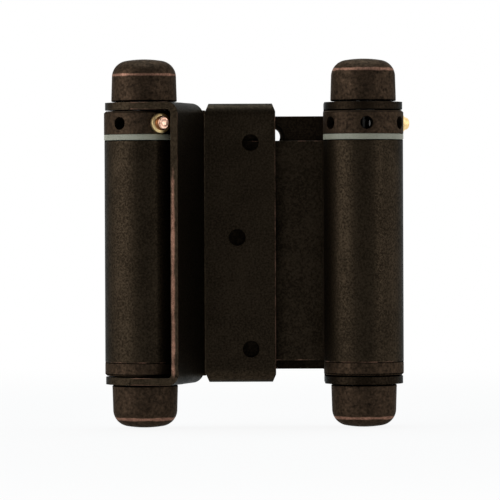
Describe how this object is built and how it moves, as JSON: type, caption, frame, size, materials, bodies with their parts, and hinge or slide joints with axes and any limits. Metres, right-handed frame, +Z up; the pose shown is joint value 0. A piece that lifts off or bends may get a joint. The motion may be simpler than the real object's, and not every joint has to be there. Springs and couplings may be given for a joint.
{
  "type": "double action cafe hinge",
  "caption": "Folded sheet double action spring hinge: a web rolled into spring barrels joins a jamb flange and a door flange, with domed end caps and pinned tension collars.",
  "frame": {"origin": "on the jamb flange's mounting face, midway between the two barrel axes and at mid-height", "axes": "+X from the jamb barrel to the door barrel, +Y from the jamb face towards the door, +Z up along the barrels"},
  "size_m": [0.0831, 0.0274, 0.0998],
  "materials": {
    "bronze": "satin oil-rubbed bronze",
    "steel": "plain drawn",
    "brass": "bright turned",
    "nylon": "natural"
  },
  "bodies": {
    "jamb": {"jamb_flange": "bronze", "left_pintle": "steel", "left_top_cap": "bronze", "left_bottom_cap": "bronze"},
    "left_collar": {"left_tension_collar": "bronze", "left_tension_pin": "brass"},
    "web": {"centre_web": "bronze", "left_nylon_washer": "nylon", "right_nylon_washer": "nylon", "left_barrel_plug": "bronze", "right_barrel_plug": "bronze", "left_torsion_spring": "steel", "right_torsion_spring": "steel"},
    "right_collar": {"right_tension_collar": "bronze", "right_tension_pin": "brass"},
    "door": {"door_flange": "bronze", "right_pintle": "steel", "right_top_cap": "bronze", "right_bottom_cap": "bronze"}
  },
  "joints": [
    {"name": "web_swing", "type": "hinge", "parent": "jamb", "child": "web", "pos_m": [-0.0297, -0.0068, 0], "axis": [0, 0, 1], "range_deg": [0, 110], "stiffness_Nm_per_rad": 0.6, "springref_deg": -57.3, "deforming": ["left_torsion_spring"]},
    {"name": "door_swing", "type": "hinge", "parent": "web", "child": "door", "pos_m": [0.0297, -0.0068, 0], "axis": [0, 0, -1], "range_deg": [0, 110], "stiffness_Nm_per_rad": 0.6, "springref_deg": -57.3, "deforming": ["right_torsion_spring"]},
    {"name": "left_collar_wind", "type": "hinge", "parent": "jamb", "child": "left_collar", "pos_m": [-0.0297, -0.0068, 0], "axis": [0, 0, -1], "range_deg": [0, 240], "stiffness_Nm_per_rad": 0.02, "springref_deg": -28.65, "deforming": ["left_torsion_spring"]},
    {"name": "right_collar_wind", "type": "hinge", "parent": "door", "child": "right_collar", "pos_m": [0.0297, -0.0068, 0], "axis": [0, 0, -1], "range_deg": [0, 240], "stiffness_Nm_per_rad": 0.02, "springref_deg": -28.65, "deforming": ["right_torsion_spring"]}
  ]
}
